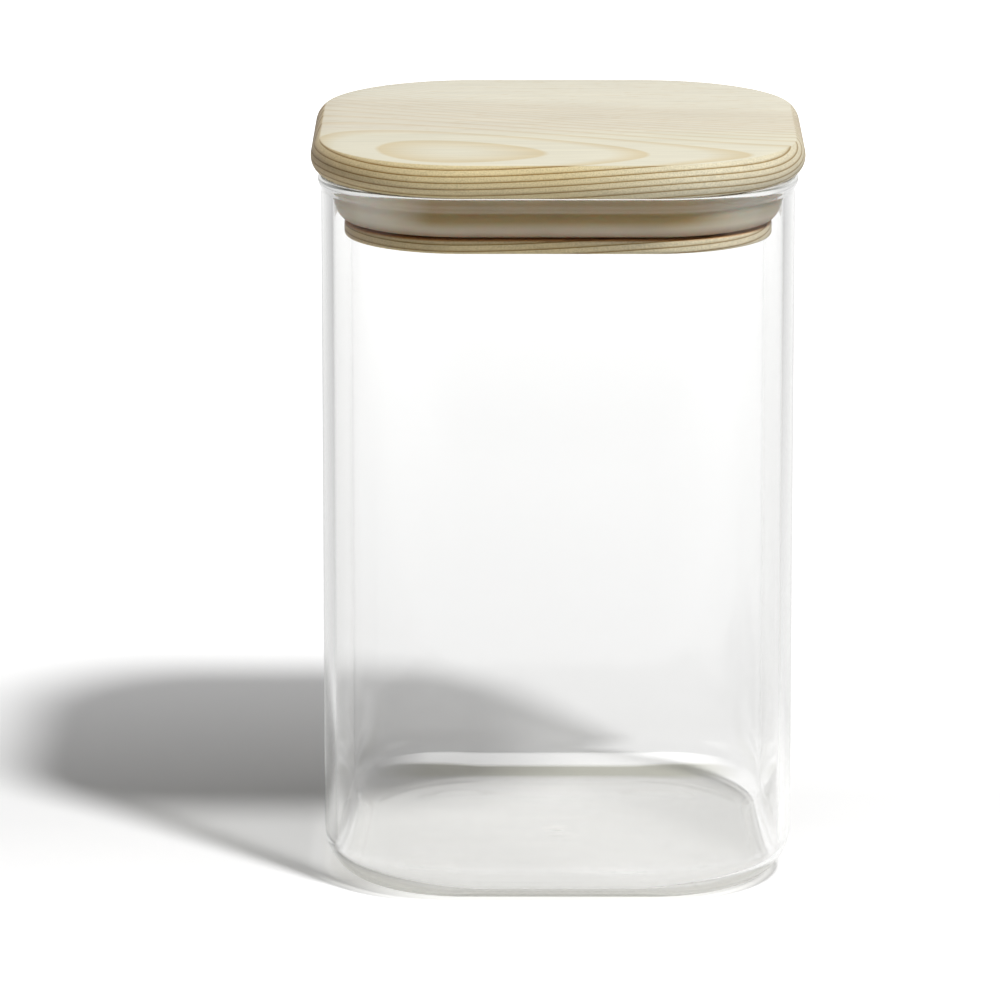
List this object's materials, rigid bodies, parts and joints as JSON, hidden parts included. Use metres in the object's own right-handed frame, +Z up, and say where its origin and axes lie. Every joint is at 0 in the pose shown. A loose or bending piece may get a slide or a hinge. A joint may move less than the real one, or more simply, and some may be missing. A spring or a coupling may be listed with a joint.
{
  "type": "glass storage jar",
  "caption": "Square glass storage jar with rounded corners, closed by a thick pine lid whose grooved plug carries a flared silicone seal.",
  "frame": {"origin": "centre of the foot ring, on the surface that the jar stands on", "axes": "+Z up through the mouth and lid, +X and +Y square to the flat sides, front side facing -Y"},
  "size_m": [0.1042, 0.1042, 0.1595],
  "materials": {
    "glass": "clear, colourless, fire-polished",
    "pine": "fine-sanded, pale, matt oil",
    "silicone": "translucent, soft matt"
  },
  "bodies": {
    "jar": {"glass_jar": "glass"},
    "lid": {"lid": "pine", "seal": "silicone"}
  },
  "joints": [
    {"name": "lid_lift", "type": "slide", "parent": "jar", "child": "lid", "axis": [0, 0, 1], "range_m": [0, 0.12]}
  ]
}
